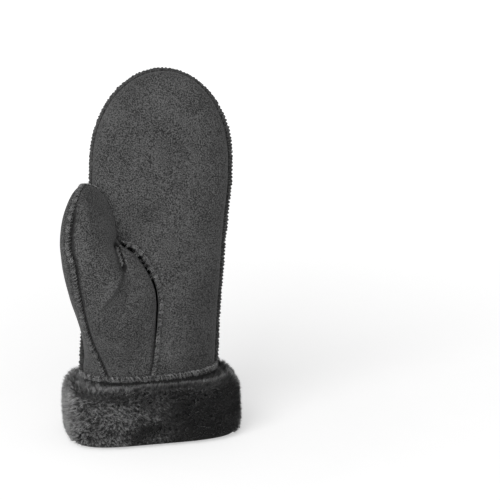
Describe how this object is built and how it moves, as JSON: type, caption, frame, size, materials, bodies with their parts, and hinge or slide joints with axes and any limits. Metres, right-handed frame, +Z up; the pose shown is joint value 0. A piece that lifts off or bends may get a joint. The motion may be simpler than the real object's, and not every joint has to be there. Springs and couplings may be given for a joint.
{
  "type": "mitten",
  "caption": "Left-hand winter mitten of suede lined with plush, with overcast seams, a thumb in front of the palm and a turned-up plush cuff that it stands on.",
  "frame": {"origin": "under the middle of the whole mitten, on the surface that its cuff stands on", "axes": "+Z up to the fingertips, +X away from the thumb across the hand, +Y out of the back of the hand"},
  "size_m": [0.1328, 0.0826, 0.2672],
  "materials": {
    "suede": "napped suede, dark grey",
    "plush": "dense short plush, charcoal"
  },
  "bodies": {
    "root": {"back_panel": "suede", "palm_panel": "suede", "thumb_front": "suede", "thumb_side": "suede", "fur_cuff": "plush"}
  },
  "joints": []
}
